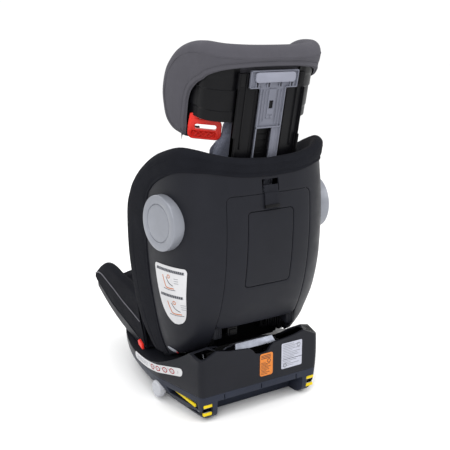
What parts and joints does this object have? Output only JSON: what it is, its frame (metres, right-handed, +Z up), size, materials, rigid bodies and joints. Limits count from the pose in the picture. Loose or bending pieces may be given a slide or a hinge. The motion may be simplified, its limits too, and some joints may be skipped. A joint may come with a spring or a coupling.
{
  "type": "convertible child car seat",
  "caption": "Child car seat with a reclining shell on an anchored base, height-adjustable winged headrest, harness, side guards and a rear storage door.",
  "frame": {"origin": "on the floor under the middle of the base's flat underside", "axes": "+Z up, the child faces -Y, the child's left is +X"},
  "size_m": [0.4482, 0.5703, 0.8127],
  "materials": {
    "base_black": "fine grained, slightly satin",
    "tray_black": "fine grained, slightly blue black",
    "shell_black": "smooth satin",
    "inner_black": "moulded, ribbed",
    "bare_steel": "zinc plated",
    "label_white": "printed film",
    "isofix_yellow": "moulded",
    "knob_grey": "moulded, ribbed",
    "silver_plastic": "brushed silver lacquer",
    "adjuster_grey": "moulded",
    "belt_red": "moulded",
    "webbing_black": "woven webbing",
    "buckle_black": "satin",
    "cloth_black": "knitted",
    "cloth_grey": "plain woven"
  },
  "bodies": {
    "base": {"base_housing": "base_black", "base_tray": "tray_black", "cross_plate": "bare_steel", "recline_track_left": "bare_steel", "recline_track_right": "bare_steel", "position_band_left": "label_white", "position_band_right": "label_white", "isofix_guide_left": "isofix_yellow", "isofix_guide_right": "isofix_yellow"},
    "isofix_arm_l": {"isofix_arm_left": "bare_steel"},
    "isofix_arm_r": {"isofix_arm_right": "bare_steel"},
    "release_l": {"isofix_release_left": "knob_grey"},
    "release_r": {"isofix_release_right": "knob_grey"},
    "recline_handle": {"recline_lever": "knob_grey"},
    "seat": {"back_shell": "shell_black", "back_panel": "shell_black", "storage_bin": "shell_black", "seat_pan": "shell_black", "back_frame": "inner_black", "recline_carriage": "inner_black", "recline_axle_front": "bare_steel", "recline_axle_rear": "bare_steel", "side_label_left": "label_white", "side_label_right": "label_white", "recline_pointer_left": "silver_plastic", "recline_pointer_right": "silver_plastic", "lap_belt_guide_left": "belt_red", "lap_belt_guide_right": "belt_red", "tether_strap": "webbing_black", "rim_cover": "cloth_black", "seat_cushion": "cloth_black", "seat_bolster_left": "cloth_black", "seat_bolster_right": "cloth_black", "back_cushion": "cloth_black", "side_cushion_left": "cloth_black", "side_cushion_right": "cloth_black", "harness_strap_left": "webbing_black", "harness_strap_right": "webbing_black", "buckle_housing": "buckle_black", "crotch_strap": "webbing_black", "buckle_tongue_left": "bare_steel", "buckle_tongue_right": "bare_steel"},
    "door": {"storage_door": "shell_black"},
    "guard_l": {"side_guard_left": "silver_plastic"},
    "guard_r": {"side_guard_right": "silver_plastic"},
    "buckle_press": {"buckle_button": "belt_red"},
    "strap_release": {"adjuster_button": "knob_grey"},
    "headrest": {"headrest_cover": "cloth_grey", "headrest_shell": "inner_black", "headrest_pad": "cloth_grey", "neck_pad": "cloth_grey", "headrest_carrier": "inner_black", "adjuster_plate": "adjuster_grey", "belt_guide_left": "belt_red", "belt_guide_right": "belt_red", "upper_strap_left": "webbing_black", "upper_strap_right": "webbing_black", "shoulder_pad_left": "cloth_black", "shoulder_pad_right": "cloth_black"},
    "headrest_handle": {"adjuster_handle": "adjuster_grey"}
  },
  "joints": [
    {"name": "recline", "type": "hinge", "parent": "base", "child": "seat", "pos_m": [0, -0.03, 0.47], "axis": [-1, 0, 0], "range_deg": [0, 15]},
    {"name": "headrest_slide", "type": "slide", "parent": "seat", "child": "headrest", "axis": [0, 0.2079, 0.9781], "range_m": [-0.15, 0]},
    {"name": "headrest_release", "type": "slide", "parent": "headrest", "child": "headrest_handle", "axis": [0, 0.2079, 0.9781], "range_m": [0, 0.005], "stiffness_N_per_m": 600},
    {"name": "door_hinge", "type": "hinge", "parent": "seat", "child": "door", "pos_m": [0, 0.2595, 0.302], "axis": [-1, 0, 0], "range_deg": [0, 95]},
    {"name": "isofix_slide_left", "type": "slide", "parent": "base", "child": "isofix_arm_l", "axis": [0, 1, 0], "range_m": [0, 0.11]},
    {"name": "isofix_slide_right", "type": "slide", "parent": "base", "child": "isofix_arm_r", "axis": [0, 1, 0], "range_m": [0, 0.11]},
    {"name": "isofix_release_left_press", "type": "slide", "parent": "base", "child": "release_l", "axis": [-1, 0, 0], "range_m": [0, 0.004], "stiffness_N_per_m": 700},
    {"name": "isofix_release_right_press", "type": "slide", "parent": "base", "child": "release_r", "axis": [1, 0, 0], "range_m": [0, 0.004], "stiffness_N_per_m": 700},
    {"name": "recline_lever_pull", "type": "slide", "parent": "base", "child": "recline_handle", "axis": [0, -1, 0], "range_m": [0, 0.01], "stiffness_N_per_m": 400},
    {"name": "side_guard_left_slide", "type": "slide", "parent": "seat", "child": "guard_l", "axis": [0.9829, 0.184, 0], "range_m": [-0.01, 0]},
    {"name": "side_guard_right_slide", "type": "slide", "parent": "seat", "child": "guard_r", "axis": [-0.9829, 0.184, 0], "range_m": [-0.01, 0]},
    {"name": "buckle_press_in", "type": "slide", "parent": "seat", "child": "buckle_press", "axis": [0, 0.5, -0.866], "range_m": [0, 0.003], "stiffness_N_per_m": 900},
    {"name": "strap_release_press", "type": "slide", "parent": "seat", "child": "strap_release", "axis": [0, 0, -1], "range_m": [0, 0.003], "stiffness_N_per_m": 700}
  ]
}
